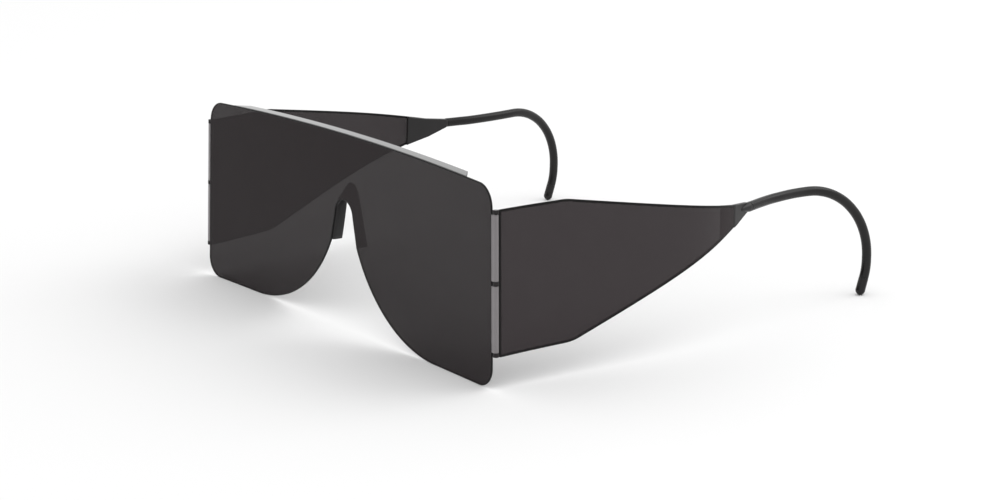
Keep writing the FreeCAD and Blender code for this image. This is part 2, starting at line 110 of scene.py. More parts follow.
class NodeLine:
    """A short hand for adding nodes to a tree and feeding their inputs."""

    def __init__(self, tree: bpy.types.NodeTree) -> None:
        """Keeps the shader or geometry node tree that the nodes go into."""
        self.tree = tree

    @classmethod
    def fresh(cls, owner: bpy.types.ID) -> "NodeLine":
        """Gives a material or a world an empty node tree.

        Args:
            owner: The material or the world.

        Returns:
            The line that adds nodes to it.
        """
        owner.use_nodes = True
        owner.node_tree.nodes.clear()
        return cls(owner.node_tree)

    def add(self, kind: str, values: Optional[dict] = None, **settings: object) -> bpy.types.Node:
        """Adds one node.

        Args:
            kind: The node's type name.
            values: Its inputs, by name or number: a socket is linked, anything else is set.
            settings: Properties to set on it first.

        Returns:
            The new node.
        """
        node = self.tree.nodes.new(kind)
        for name, value in settings.items():
            setattr(node, name, value)
        for key, value in (values or {}).items():
            if isinstance(value, bpy.types.NodeSocket):
                self.tree.links.new(value, node.inputs[key])
            else:
                node.inputs[key].default_value = value
        return node

    def math(self, operation: str, first: object, second: object = 0.0) -> bpy.types.NodeSocket:
        """Adds a Math node.

        Args:
            operation: The node's operation.
            first: Its first value, a socket or a number.
            second: Its second value.

        Returns:
            The node's output socket.
        """
        return self.add("ShaderNodeMath", {0: first, 1: second}, operation=operation).outputs[0]

    def mix(self, kind: str, share: object, first: object, second: object) -> bpy.types.NodeSocket:
        """Adds a Mix node.

        Args:
            kind: What it mixes, FLOAT or RGBA.
            share: How much of the second value is in the mixture.
            first: The first value.
            second: The second value.

        Returns:
            The node's output socket.
        """
        *inputs, output = MIX_SOCKETS[kind]
        node = self.add("ShaderNodeMix", dict(zip(inputs, (share, first, second))), data_type=kind)
        return node.outputs[output]


def node_group(name: str, family: str, inputs: dict[str, object],
               outputs: dict[str, str]) -> tuple[NodeLine, dict]:
    """Starts a node group.

    Args:
        name: The group's name.
        family: Its kind of node tree.
        inputs: Its inputs: a number or a colour is the default, and a text is the socket's type.
        outputs: Its outputs and their sockets' types.

    Returns:
        The group's node line and the sockets that its inputs arrive on, by name.
    """
    group = bpy.data.node_groups.new(name, family)
    for label, value in inputs.items():
        if isinstance(value, str):
            group.interface.new_socket(label, in_out="INPUT", socket_type=value)
        else:
            kind = COLOUR if isinstance(value, tuple) else FLOAT
            group.interface.new_socket(label, in_out="INPUT", socket_type=kind).default_value = value
    for label, kind in outputs.items():
        group.interface.new_socket(label, in_out="OUTPUT", socket_type=kind)
    line = NodeLine(group)
    arriving = line.add("NodeGroupInput").outputs
    return line, {label: arriving[label] for label in inputs}


def handling_marks_group() -> bpy.types.NodeTree:
    """Builds the group that every finish uses for smudges, fine grain and slow ripples.

    Returns:
        A shader node group with a soft smudge mask and a height.
    """
    line, given = node_group(
        "handling_marks", "ShaderNodeTree",
        {"Smudge Scale": 60.0, "Grain Scale": 2500.0, "Ripple Scale": 14.0, "Grain In Height": 0.2},
        {"Smudge": FLOAT, "Height": FLOAT})
    place = line.add("ShaderNodeTexCoord").outputs["Object"]
    smudge, grain, ripple = (
        line.add("ShaderNodeTexNoise", {"Vector": place, "Scale": given[f"{kind} Scale"], "Detail": detail,
                                        "Distortion": distortion}).outputs["Fac"]
        for kind, detail, distortion in (("Smudge", 4.0, 1.2), ("Grain", 2.0, 0.0), ("Ripple", 1.0, 0.4)))
    mask = line.add("ShaderNodeMapRange", {"Value": smudge, "From Min": 0.45, "From Max": 0.75})
    height = line.math("ADD", line.math("MULTIPLY", grain, given["Grain In Height"]), ripple)
    line.add("NodeGroupOutput", {"Smudge": mask.outputs["Result"], "Height": height})
    return line.tree


def varied_surface_group() -> bpy.types.NodeTree:
    """Builds the group that mixes two colours and two roughnesses by a mask.

    Returns:
        A shader node group with a colour and a roughness output.
    """
    grey = (0.5, 0.5, 0.5, 1.0)
    line, given = node_group(
        "varied_surface", "ShaderNodeTree",
        {"Clean Colour": grey, "Worn Colour": grey, "Clean Roughness": 0.2, "Worn Roughness": 0.4,
         "Mask": 0.0},
        {"Colour": COLOUR, "Roughness": FLOAT})
    colour = line.mix("RGBA", given["Mask"], given["Clean Colour"], given["Worn Colour"])
    roughness = line.mix("FLOAT", given["Mask"], given["Clean Roughness"], given["Worn Roughness"])
    line.add("NodeGroupOutput", {"Colour": colour, "Roughness": roughness})
    return line.tree


@dataclass(frozen=True)
class Finish:
    """One finish of the object: its colours, gloss and translucency, and how its surface varies."""

    name: str
    colour: Triple
    worn_colour: Triple
    roughness: float
    worn_roughness: float
    ior: float = 1.5
    alpha: float = 1.0
    metallic: float = 0.0
    coat: float = 0.0
    smudge_scale: float = 60.0
    grain_scale: float = 2500.0
    grain_in_height: float = 0.2
    bump_distance: float = 0.00002
    bump_strength: float = 0.3

    def material(self, marks: bpy.types.NodeTree, varied: bpy.types.NodeTree) -> bpy.types.Material:
        """Builds the material from the two shared groups and the finish's own numbers.

        Args:
            marks: The handling marks group.
            varied: The varied surface group.

        Returns:
            The finished material.
        """
        made = bpy.data.materials.new(self.name)
        line = NodeLine.fresh(made)
        noise = line.add("ShaderNodeGroup", {
            "Smudge Scale": self.smudge_scale, "Grain Scale": self.grain_scale,
            "Grain In Height": self.grain_in_height}, node_tree=marks)
        mix = line.add("ShaderNodeGroup", {
            "Clean Colour": (*self.colour, 1.0), "Worn Colour": (*self.worn_colour, 1.0),
            "Clean Roughness": self.roughness, "Worn Roughness": self.worn_roughness,
            "Mask": noise.outputs["Smudge"]}, node_tree=varied)
        bump = line.add("ShaderNodeBump", {
            "Distance": self.bump_distance, "Strength": self.bump_strength,
            "Height": noise.outputs["Height"]})
        surface = line.add("ShaderNodeBsdfPrincipled", {
            "Base Color": mix.outputs["Colour"], "Roughness": mix.outputs["Roughness"],
            "Normal": bump.outputs["Normal"], "IOR": self.ior, "Alpha": self.alpha,
            "Metallic": self.metallic, "Coat Weight": self.coat})
        line.add("ShaderNodeOutputMaterial", {"Surface": surface.outputs["BSDF"]})
        return made


# What the two see-through films share: light crosses two surfaces of each, and they have only slow ripples
FILM_FACE = {"alpha": 0.848, "smudge_scale": 45.0, "bump_distance": 0.00010, "bump_strength": 0.10,
             "grain_in_height": 0.0}
LENS = Finish("lens_film", (0.0092, 0.0048, 0.0058), (0.0110, 0.0064, 0.0074), 0.055, 0.13, ior=1.22,
              **FILM_FACE)
# The side shields are the same smoke film as the lens; their lighter colour is painted light, for the light
# that falls on and through the sides
SHIELD_PAINTED_LIGHT = Finish("shield_film", (0.0265, 0.0195, 0.0212), (0.0290, 0.0220, 0.0238), 0.070, 0.15, ior=1.21,
                **FILM_FACE)
# The films' rounded edges, and a band of painted shade along the outlines on their faces
FILM_EDGE_AND_SHADE = Finish("film_edge_and_shade", (0.004, 0.0035, 0.0035), (0.008, 0.007, 0.007), 0.30, 0.45, ior=1.25,
                   grain_scale=900.0)
LEDGE = Finish("ledge_film", (0.022, 0.022, 0.023), (0.036, 0.036, 0.037), 0.10, 0.20, ior=1.62, coat=0.48,
               bump_distance=0.00008, bump_strength=0.12, grain_in_height=0.0)
# The hinge barrels are see-through in part, and their pale grey is painted light, for the light that shines
# through the thin hinge strip
BARREL = Finish("barrel_plastic", (0.210, 0.197, 0.201), (0.235, 0.222, 0.227), 0.30, 0.42, ior=1.38,
                alpha=0.85, grain_scale=1800.0)
PIN = Finish("clear_pin", (0.30, 0.29, 0.29), (0.36, 0.35, 0.35), 0.20, 0.30, ior=1.42, alpha=0.60)
KNUCKLE = Finish("knuckle_black", (0.010, 0.008, 0.0085), (0.016, 0.013, 0.014), 0.35, 0.50, ior=1.33,
                 grain_scale=1500.0)
SATIN = Finish("satin_black", (0.0060, 0.0050, 0.0054), (0.014, 0.012, 0.013), 0.36, 0.50, ior=1.46,
               grain_scale=1500.0, grain_in_height=0.6, bump_distance=0.00003, bump_strength=0.35)
SOFT = Finish("soft_vinyl", (0.0045, 0.0038, 0.0036), (0.010, 0.009, 0.009), 0.26, 0.40, ior=1.37,
              grain_scale=2200.0, grain_in_height=0.5, bump_distance=0.00004, bump_strength=0.25)
WIRE = Finish("drawn_wire", (0.55, 0.55, 0.56), (0.40, 0.40, 0.41), 0.28, 0.42, metallic=1.0,
              grain_scale=3000.0)


class Palette:
    """Every finish as a material, built once."""

    def __init__(self, finishes: Iterable[Finish]) -> None:
        """Builds the shared groups and one material for each finish.

        Args:
            finishes: The finishes.
        """
        marks = handling_marks_group()
        varied = varied_surface_group()
        self.by_name = {finish.name: finish.material(marks, varied) for finish in finishes}

    def __getitem__(self, finish: Finish) -> bpy.types.Material:
        """The material of a finish."""
        return self.by_name[finish.name]


# Outlines and meshes


@dataclass
class Trace:
    """A closed outline drawn with straight edges and arcs, in mm and radians, arcs as short steps."""

    points: list[Vector]
    step: float = 0.7
    step_turn: float = 0.2
    fewest_steps: int = 3
    most_steps: int = 60

    @classmethod
    def start(cls, point: Point) -> "Trace":
        """An outline that starts at a point."""
        return cls([Vector(point)])

    def line(self, point: Point) -> None:
        """Adds a straight edge."""
        self.points.append(Vector(point))

    def arc(self, middle: Point, end: Point) -> None:
        """Adds a round edge through a middle point.

        Args:
            middle: A point on the arc.
            end: Its end.
        """
        a, b, c = self.points[-1], Vector(middle), Vector(end)
        turn = 2 * (a.x * (b.y - c.y) + b.x * (c.y - a.y) + c.x * (a.y - b.y))
        squares = [p.length_squared for p in (a, b, c)]
        centre = Vector((
            (squares[0] * (b.y - c.y) + squares[1] * (c.y - a.y) + squares[2] * (a.y - b.y)) / turn,
            (squares[0] * (c.x - b.x) + squares[1] * (a.x - c.x) + squares[2] * (b.x - a.x)) / turn,
        ))
        first = math.atan2(a.y - centre.y, a.x - centre.x)
        last = math.atan2(c.y - centre.y, c.x - centre.x)
        sweep = (last - first) % math.tau if turn > 0 else -((first - last) % math.tau)
        radius = (a - centre).length
        wanted = math.ceil(max(abs(sweep) * radius / self.step, abs(sweep) / self.step_turn))
        steps = min(max(self.fewest_steps, wanted), self.most_steps)
        for number in range(1, steps + 1):
            angle = first + sweep * number / steps
            self.points.append(centre + Vector((math.cos(angle), math.sin(angle))) * radius)

    def corner(self, corner: Point, after: Point, radius: float) -> None:
        """Adds a straight edge towards a corner and rounds it towards the next point.

        Args:
            corner: The sharp corner.
            after: The point that the outline heads for next.
            radius: The rounding's radius.
        """
        first, middle, last = rounding(self.points[-1], Vector(corner), Vector(after), radius)
        self.line(first)
        self.arc(middle, last)

    def loop(self) -> list[Vector]:
        """Closes the outline.

        Returns:
            Its points, with neighbours that coincide merged.
        """
        kept: list[Vector] = []
        for point in self.points:
            if not kept or (point - kept[-1]).length > NEAR:
                kept.append(point)
        if (kept[0] - kept[-1]).length < NEAR:
            kept.pop()
        return kept


def rounding(before: Vector, corner: Vector, after: Vector, radius: float) -> tuple[Vector, Vector, Vector]:
    """Start, middle and end of the arc that rounds a corner.

    Args:
        before: A point that the edge comes from.
        corner: The sharp corner.
        after: A point that the edge goes to.
        radius: The arc's radius.

    Returns:
        Three points on the arc.
    """
    arriving = (before - corner).normalized()
    leaving = (after - corner).normalized()
    half = arriving.angle(leaving) / 2
    tangent = radius / math.tan(half)
    centre = corner + (arriving + leaving).normalized() * (radius / math.sin(half))
    middle = centre + (corner - centre).normalized() * radius
    return corner + arriving * tangent, middle, corner + leaving * tangent


def mirrored(point: Point) -> Point:
    """The same outline point on the other side of the upright axis."""
    return (-point[0], point[1])


def new_object(name: str, data: bpy.types.ID) -> bpy.types.Object:
    """Makes an object from its data and links it to the scene.

    Args:
        name: The object's name.
        data: Its mesh, light or camera.

    Returns:
        The new object.
    """
    made = bpy.data.objects.new(name, data)
    bpy.context.scene.collection.objects.link(made)
    return made


def slab(name: str, loop: list[Vector], columns: Iterable[float], low: float, high: float,
         rim: float, materials: Iterable[bpy.types.Material] = (), border: float = 0.0) -> bpy.types.Object:
    """Builds a flat slab from an outline, divided into columns, with rounded edges.

    The outline lies in x and z, and the thickness runs along y.

    Args:
        name: The object's name.
        loop: The outline's points.
        columns: Places along x where the faces are divided, so that it can bend.
        low: Where the thickness starts along y.
        high: Where it ends.
        rim: The rounding of the edges.
        materials: Its material slots, faces first and rim second.
        border: Width of the band along the outline that has the rim's dark material, painted shade along
            the edges.

    Returns:
        The slab as a mesh object, with its faces in slot 0 and its rim in slot 1.
    """
    work = bmesh.new()
    corners = [work.verts.new((p.x, low, p.y)) for p in loop]
    work.faces.new(corners)
    for place in columns:
        everything = list(work.verts) + list(work.edges) + list(work.faces)
        bmesh.ops.bisect_plane(work, geom=everything, dist=NEAR, plane_co=(place, 0, 0), plane_no=(1, 0, 0))
    bottom = list(work.faces)
    raised = bmesh.ops.extrude_face_region(work, geom=bottom, use_keep_orig=True)
    lifted = [item for item in raised["geom"] if isinstance(item, bmesh.types.BMVert)]
    bmesh.ops.translate(work, verts=lifted, vec=(0, high - low, 0))
    bmesh.ops.recalc_face_normals(work, faces=work.faces)
    for face in work.faces:
        face.material_index = 0 if abs(face.normal.y) > FLAT else 1
    # Painted shade: a band of the rim's dark material on both faces, along the outline
    if border:
        for sense in (-1, 1):
            region = [face for face in work.faces if face.normal.y * sense > FLAT]
            ring = bmesh.ops.inset_region(work, faces=region, thickness=border, use_even_offset=True,
                                          use_boundary=True)
            for face in ring["faces"]:
                face.material_index = 1
    edges = [edge for edge in work.edges if len(edge.link_faces) == 2
             and len({abs(face.normal.y) > FLAT for face in edge.link_faces}) == 2]
    bmesh.ops.bevel(work, geom=edges, offset=rim, segments=2, profile=0.5, affect="EDGES", material=1,
                    clamp_overlap=False)
    return mesh_object(name, work, materials)


def mesh_object(name: str, work: bmesh.types.BMesh,
                materials: Iterable[bpy.types.Material] = ()) -> bpy.types.Object:
    """Turns a working mesh into an object of the scene.

    Args:
        name: The object's name.
        work: The working mesh, which is freed.
        materials: Its material slots, in order.

    Returns:
        The new object.
    """
    mesh = bpy.data.meshes.new(name)
    work.to_mesh(mesh)
    work.free()
    for material in materials:
        mesh.materials.append(material)
    made = new_object(name, mesh)
    face_outwards(made)
    return made


def face_outwards(piece: bpy.types.Object) -> None:
    """Flips a closed piece whose faces look inwards, which its signed volume tells.

    Args:
        piece: A mesh object.
    """
    work = bmesh.new()
    work.from_mesh(piece.data)
    if work.calc_volume(signed=True) < 0:
        bmesh.ops.reverse_faces(work, faces=work.faces)
        work.to_mesh(piece.data)
    work.free()


def remap(piece: bpy.types.Object, rule: Callable[[Vector], Vector]) -> None:
    """Moves every vertex of a piece by a rule.

    Args:
        piece: A mesh object.
        rule: Gives a vertex's new place from its old one.
    """
    for vertex in piece.data.vertices:
        vertex.co = rule(vertex.co.copy())
    piece.data.update()
    face_outwards(piece)


def finish_piece(piece: bpy.types.Object, body: str, nodes: Iterable[str],
                 weighted: bool = True) -> None:
    """Gives a piece its shading and body, and hides the nodes that it stands for.

    Args:
        piece: A mesh object, already in place and with its materials.
        body: The body that it moves with.
        nodes: The nodes that it replaces.
        weighted: Whether large faces should set the shading normals.
    """
    face_outwards(piece)
    piece.data.shade_smooth()
    if weighted:
        modifier = piece.modifiers.new("steady normals", "WEIGHTED_NORMAL")
        modifier.mode = "FACE_AREA"
        modifier.weight = 100
    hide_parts(*nodes)
    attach(piece, body)
    LOG.info("%s: %d faces on %s", piece.name, len(piece.data.polygons), body)


def dress(node: str, material: bpy.types.Material) -> None:
    """Gives a carried-over node its material.

    Args:
        node: The node's name.
        material: The material.
    """
    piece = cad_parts[node]
    piece.data.materials.clear()
    piece.data.materials.append(material)
    LOG.info("%s keeps its shape and gets %s", node, material.name)


def bake(piece: bpy.types.Object) -> None:
    """Turns what a piece's modifiers make into its plain mesh and removes them.

    Args:
        piece: A mesh object.
    """
    graph = bpy.context.evaluated_depsgraph_get()
    result = bpy.data.meshes.new_from_object(piece.evaluated_get(graph), depsgraph=graph)
    piece.modifiers.clear()
    piece.data = result


def run_tree(piece: bpy.types.Object, tree: bpy.types.NodeTree, values: dict[str, object]) -> None:
    """Puts a geometry node tree on a piece, sets its named inputs and bakes the result.

    Args:
        piece: The object that the tree works on.
        tree: The node tree.
        values: Input names and their values.
    """
    modifier = piece.modifiers.new(tree.name, "NODES")
    modifier.node_group = tree
    for socket in tree.interface.items_tree:
        if socket.in_out == "INPUT" and socket.name in values:
            modifier[socket.identifier] = values[socket.name]
    bake(piece)


def bow_tree() -> bpy.types.NodeTree:
    """Builds the tree that bows a flat sheet in plan, its middle furthest back.

    Returns:
        A geometry node tree with the bow's radius and depth as inputs.
    """
    line, given = node_group(
        "bowed_sheet", "GeometryNodeTree",
        {"Geometry": GEOMETRY, "Bow Radius": 1971.0, "Bow Depth": 1.5, "Face Material": MATERIAL,
         "Rim Material": MATERIAL},
        {"Geometry": GEOMETRY})
    line.tree.is_modifier = True
    place = line.add("GeometryNodeInputPosition").outputs[0]
    across = line.add("ShaderNodeSeparateXYZ", {0: place}).outputs["X"]
    radius = given["Bow Radius"]
    squares = [line.math("MULTIPLY", value, value) for value in (radius, across)]
    drop = line.math("SUBTRACT", radius, line.math("SQRT", line.math("SUBTRACT", *squares)))
    back = line.math("SUBTRACT", given["Bow Depth"], drop)
    offset = line.add("ShaderNodeCombineXYZ", {"Y": back}).outputs[0]
    moved = line.add("GeometryNodeSetPosition", {"Geometry": given["Geometry"], "Offset": offset})
    latest = line.add("GeometryNodeRealizeInstances", {"Geometry": moved.outputs["Geometry"]})
    number = line.add("GeometryNodeInputMaterialIndex").outputs[0]
    for operation, label in (("LESS_THAN", "Face Material"), ("GREATER_THAN", "Rim Material")):
        latest = line.add("GeometryNodeSetMaterial", {
            "Geometry": latest.outputs["Geometry"], "Selection": line.math(operation, number, 0.5),
            "Material": given[label]})
    line.add("NodeGroupOutput", {"Geometry": latest.outputs["Geometry"]})
    return line.tree


def tube_tree() -> bpy.types.NodeTree:
    """Builds the tree that wraps a round tube along a line of points.

    Returns:
        A geometry node tree with the tube's radius and the noise of its surface as inputs.
    """
    line, given = node_group(
        "sheathed_tube", "GeometryNodeTree",
        {"Geometry": GEOMETRY, "Radius": 1.5, "Unevenness": 0.01, "Material": MATERIAL},
        {"Geometry": GEOMETRY})
    line.tree.is_modifier = True
    path = line.add("GeometryNodeMeshToCurve", {"Mesh": given["Geometry"]})
    profile = line.add("GeometryNodeCurvePrimitiveCircle", {
        "Resolution": AROUND, "Radius": given["Radius"]}, mode="RADIUS")
    tube = line.add("GeometryNodeCurveToMesh", {
        "Curve": path.outputs["Curve"], "Profile Curve": profile.outputs["Curve"], "Fill Caps": True})
    place = line.add("GeometryNodeInputPosition").outputs[0]
    noise = line.add("ShaderNodeTexNoise", {"Vector": place, "Scale": 0.22, "Detail": 1.0}).outputs["Fac"]
    swell = line.math("MULTIPLY", line.math("SUBTRACT", noise, 1.0), given["Unevenness"])
    normal = line.add("GeometryNodeInputNormal").outputs[0]
    shift = line.add("ShaderNodeVectorMath", {0: normal, "Scale": swell}, operation="SCALE").outputs[0]
    moved = line.add("GeometryNodeSetPosition", {"Geometry": tube.outputs["Mesh"], "Offset": shift})
    real = line.add("GeometryNodeRealizeInstances", {"Geometry": moved.outputs["Geometry"]})
    dressed = line.add("GeometryNodeSetMaterial", {
        "Geometry": real.outputs["Geometry"], "Material": given["Material"]})
    line.add("NodeGroupOutput", {"Geometry": dressed.outputs["Geometry"]})
    return line.tree


def skin(work: bmesh.types.BMesh, rings: list[list[bmesh.types.BMVert]]) -> None:
    """Joins rings of points with faces and closes both ends.

    Args:
        work: The working mesh.
        rings: The rings in order, of equal length; the last may be a single point.
    """
    for first, second in zip(rings, rings[1:]):
        for n in range(len(first)):
            m = (n + 1) % len(first)
            far = (second[0],) if len(second) == 1 else (second[m], second[n])
            work.faces.new((first[n], first[m], *far))
    for ring in (rings[0], rings[-1]):
        if len(ring) > 1:
            work.faces.new(ring)
    bmesh.ops.recalc_face_normals(work, faces=work.faces)


def lathe(name: str, origin: Vector, way: Vector, stations: Iterable[Point],
          material: Optional[bpy.types.Material] = None) -> bpy.types.Object:
    """Turns a profile about a line.

    Args:
        name: The object's name.
        origin: A point on the line.
        way: The line's direction.
        stations: Distances along the line and the radius at each; the last radius may be nearly 0.
        material: Its material, if it is a piece of its own.

    Returns:
        A closed mesh object.
    """
    side = way.cross(Vector((1, 0, 0))).normalized()
    other = way.cross(side).normalized()
    angles = [math.tau * n / AROUND for n in range(AROUND)]
    spokes = [side * math.cos(a) + other * math.sin(a) for a in angles]
    work = bmesh.new()
    rings = []
    for along, radius in stations:
        centre = origin + way * along
        ring = [Vector()] if radius < NEAR else [spoke * radius for spoke in spokes]
        rings.append([work.verts.new(centre + reach) for reach in ring])
    skin(work, rings)
    return mesh_object(name, work, [material] if material else ())


def joined(name: str, parts: list[bpy.types.Object], material: bpy.types.Material) -> bpy.types.Object:
    """Joins several mesh objects into one.

    Args:
        name: The new object's name.
        parts: The objects, which are removed.
        material: The material of the whole.

    Returns:
        The joined object.
    """
    work = bmesh.new()
    for part in parts:
        work.from_mesh(part.data)
        bpy.data.objects.remove(part)
    for face in work.faces:
        face.material_index = 0
    return mesh_object(name, work, [material])


# The front of the glasses


@dataclass
class FrontShield:
    """The one-piece lens sheet, its brow ledge and the nose saddle. Sizes in mm and degrees."""

    palette: Palette
    bow: bpy.types.NodeTree
    thick: float = FILM_THICK
    half_width: float = HALF_WIDTH
    side_lean: float = SIDE_LEAN
    side_height: float = 56.9
    arch_rise: float = 1.9
    bow_depth: float = 1.5
    top_corner: float = 6.5
    bottom_corner: float = 6.0
    lobe_centre: float = 48.0
    lobe_radius: float = 46.0
    slot_foot: float = 25.4
    slot_shoulder: Point = (4.6, 34.5)
    slot_apex: float = 38.7
    ledge_depth: float = 3.5
    ledge_half_front: float = 62.5
    ledge_half_rear: float = 57.9
    saddle_foot_half: float = 6.5
    saddle_wall: float = 1.2
    saddle_depth: float = 3.4
    saddle_rear_wall: float = 0.6
    saddle_rear_shoulder: Point = (2.6, 40.2)
    saddle_rear_apex: float = 43.4
    saddle_crown_ease: float = 1.1
    saddle_edge: float = 0.3
    saddle_seam: float = 0.35
    saddle_steps: int = 10
    rim: float = FILM_RIM
    # Width of the band of painted shade along the sheet's outline
    border: float = 0.4
    margin: float = 1.0
    column_step: float = 2.0
    column_offset: float = 0.37

    @property
    def bow_radius(self) -> float:
        """Radius of the sheet's bow in plan."""
        return (self.half_width ** 2 + self.bow_depth ** 2) / (2 * self.bow_depth)

    @property
    def top_half(self) -> float:
        """Half the width at the height of the top corners."""
        return self.half_width - self.side_height * math.tan(math.radians(self.side_lean))

    def arch_at(self, x: float) -> float:
        """Height of the arched top edge at x."""
        radius = (self.top_half ** 2 + self.arch_rise ** 2) / (2 * self.arch_rise)
        return self.side_height + self.arch_rise - radius + math.sqrt(radius ** 2 - x ** 2)

    def outline(self) -> list[Vector]:
        """The face outline of the lens sheet.

        Returns:
            Points in x and z, in mm.
        """
        lobe, radius = self.lobe_centre, self.lobe_radius
        foot_half = lobe - math.sqrt(radius ** 2 - (radius - self.slot_foot) ** 2)
        foot = (foot_half, self.slot_foot)
        to_foot = Vector((foot_half - lobe, self.slot_foot - radius)).normalized()
        lobe_middle = Vector((lobe, radius)) + (to_foot + Vector((0, -1))).normalized() * radius
        bottom = (self.half_width, 0.0)
        top = (self.top_half, self.side_height)
        inwards = (top[0] - self.margin, self.arch_at(top[0] - self.margin))
        first, middle, last = rounding(Vector(bottom), Vector(top), Vector(inwards), self.top_corner)
        trace = Trace.start(mirrored(last))
        trace.arc((0, self.side_height + self.arch_rise), last)
        trace.arc(middle, first)
        trace.corner(bottom, (lobe, 0), self.bottom_corner)
        trace.line((lobe, 0))
        trace.arc(lobe_middle, foot)
        trace.line(self.slot_shoulder)
        trace.arc((0, self.slot_apex), mirrored(self.slot_shoulder))
        trace.line(mirrored(foot))
        trace.arc(mirrored(lobe_middle), (-lobe, 0))
        trace.corner(mirrored(bottom), mirrored(top), self.bottom_corner)
        trace.line(mirrored(first))
        trace.arc(mirrored(middle), mirrored(last))
        return trace.loop()

    def columns(self, half: float) -> list[float]:
        """Places across the sheet where its faces are divided.

        Args:
            half: Half the width to divide.

        Returns:
            Evenly spaced places, none of them on the middle.
        """
        places = [(number + self.column_offset) * self.column_step
                  for number in range(int((half - self.margin) / self.column_step))]
        return [side * place for place in places for side in (-1, 1)]

    def bend(self, piece: bpy.types.Object) -> None:
        """Bows a flat piece like the sheet and brings it to its place.

        Args:
            piece: A slab with face and rim materials.
        """
        face, rim = piece.data.materials
        run_tree(piece, self.bow, {"Bow Radius": self.bow_radius, "Bow Depth": self.bow_depth,
                                   "Face Material": face, "Rim Material": rim})
        piece.data.transform(FRONT_FRAME)

    def build_sheet(self) -> None:
        """Makes the lens sheet: a slab of the face outline, bowed in plan."""
        piece = slab("lens_sheet", self.outline(), self.columns(self.half_width), 0, self.thick, self.rim,
                     (self.palette[LENS], self.palette[FILM_EDGE_AND_SHADE]), self.border)
        self.bend(piece)
        finish_piece(piece, "front", ["front_shield"])

    def build_ledge(self) -> None:
        """Makes the ledge: a strip with mitred ends, arched like the top edge and bowed."""
        near, far = self.thick, self.thick + self.ledge_depth
        loop = [Vector((-self.ledge_half_front, near)), Vector((self.ledge_half_front, near)),
                Vector((self.ledge_half_rear, far)), Vector((-self.ledge_half_rear, far))]
        piece = slab("brow_ledge_strip", loop, self.columns(self.ledge_half_front), 0, self.thick, self.rim,
                     (self.palette[LEDGE], self.palette[FILM_EDGE_AND_SHADE]))
        remap(piece, lambda p: Vector((p.x, p.z, self.arch_at(p.x) - p.y)))
        self.bend(piece)
        finish_piece(piece, "front", ["brow_ledge"])

    def horseshoe(self, shoulder: Point, apex: float) -> list[Vector]:
        """Points along the inside of the saddle at one depth, from foot to foot.

        Args:
            shoulder: Where the legs end and the crown starts.
            apex: Height of the crown.

        Returns:
            The points in x and z.
        """
        half, shoulder_height = shoulder
        rise = apex - shoulder_height
        radius = (half ** 2 + rise ** 2) / (2 * rise)
        centre = apex - radius
        spread = math.atan2(half, shoulder_height - centre)
        foot = Vector((self.saddle_foot_half, self.slot_foot))
        leg = [foot.lerp(Vector(shoulder), n / self.saddle_steps) for n in range(self.saddle_steps)]
        crown = [Vector((radius * math.sin(a), centre + radius * math.cos(a)))
                 for a in np.linspace(spread, -spread, 2 * self.saddle_steps + 1)]
        return leg + crown + [Vector((-p.x, p.y)) for p in reversed(leg)]

    def saddle_reach(self, height: float) -> float:
        """How far back the saddle reaches at a height: less over its crown than at its feet."""
        share = (height - self.slot_foot) / (self.slot_apex - self.slot_foot)
        return self.saddle_depth - self.saddle_crown_ease * share ** 2

    def build_saddle(self) -> None:
        """Makes the nose saddle: a wall swept over a horseshoe that rises and thins out backwards."""
        front = self.horseshoe(self.slot_shoulder, self.slot_apex)
        rear = self.horseshoe(self.saddle_rear_shoulder, self.saddle_rear_apex)
        corners = [(1, 0), (1, 1), (0, 1), (0, 0)]
        edge = Trace([Vector((self.saddle_seam, 0))], step=0.1)
        for corner, after in zip(corners, corners[1:] + corners[:1]):
            edge.corner(corner, after, self.saddle_edge)
        section = edge.loop()
        face_back = self.bow_depth + self.thick
        middles = [near.lerp(far, 0.5) for near, far in zip(front, rear)]
        work = bmesh.new()
        rings = []
        for index, (near, far) in enumerate(zip(front, rear)):
            along = middles[min(index + 1, len(middles) - 1)] - middles[max(index - 1, 0)]
            out = Vector((along.y, -along.x)).normalized()
            out = out if out.dot(middles[index] - Vector((0, self.slot_foot))) > 0 else -out
            reach = self.saddle_reach(near.y)
            ring = []
            for spot in section:
                wall = self.saddle_wall + (self.saddle_rear_wall - self.saddle_wall) * spot.x
                place = near.lerp(far, spot.x) + out * (spot.y * wall)
                ring.append(work.verts.new((place.x, face_back + spot.x * reach, place.y)))
            rings.append(ring)
        skin(work, rings)
        piece = mesh_object("nose_saddle_pad", work, [self.palette[SATIN]])
        piece.data.transform(FRONT_FRAME)
        finish_piece(piece, "front", ["nose_saddle"])

    def build(self) -> None:
        """Makes the whole front and dresses its hinge barrels."""
        self.build_sheet()
        self.build_ledge()
        self.build_saddle()
        for side in Side:
            for place in ("upper", "lower"):
                dress(f"hinge_barrel_{place}_{side.word}", self.palette[BARREL])


# The temples


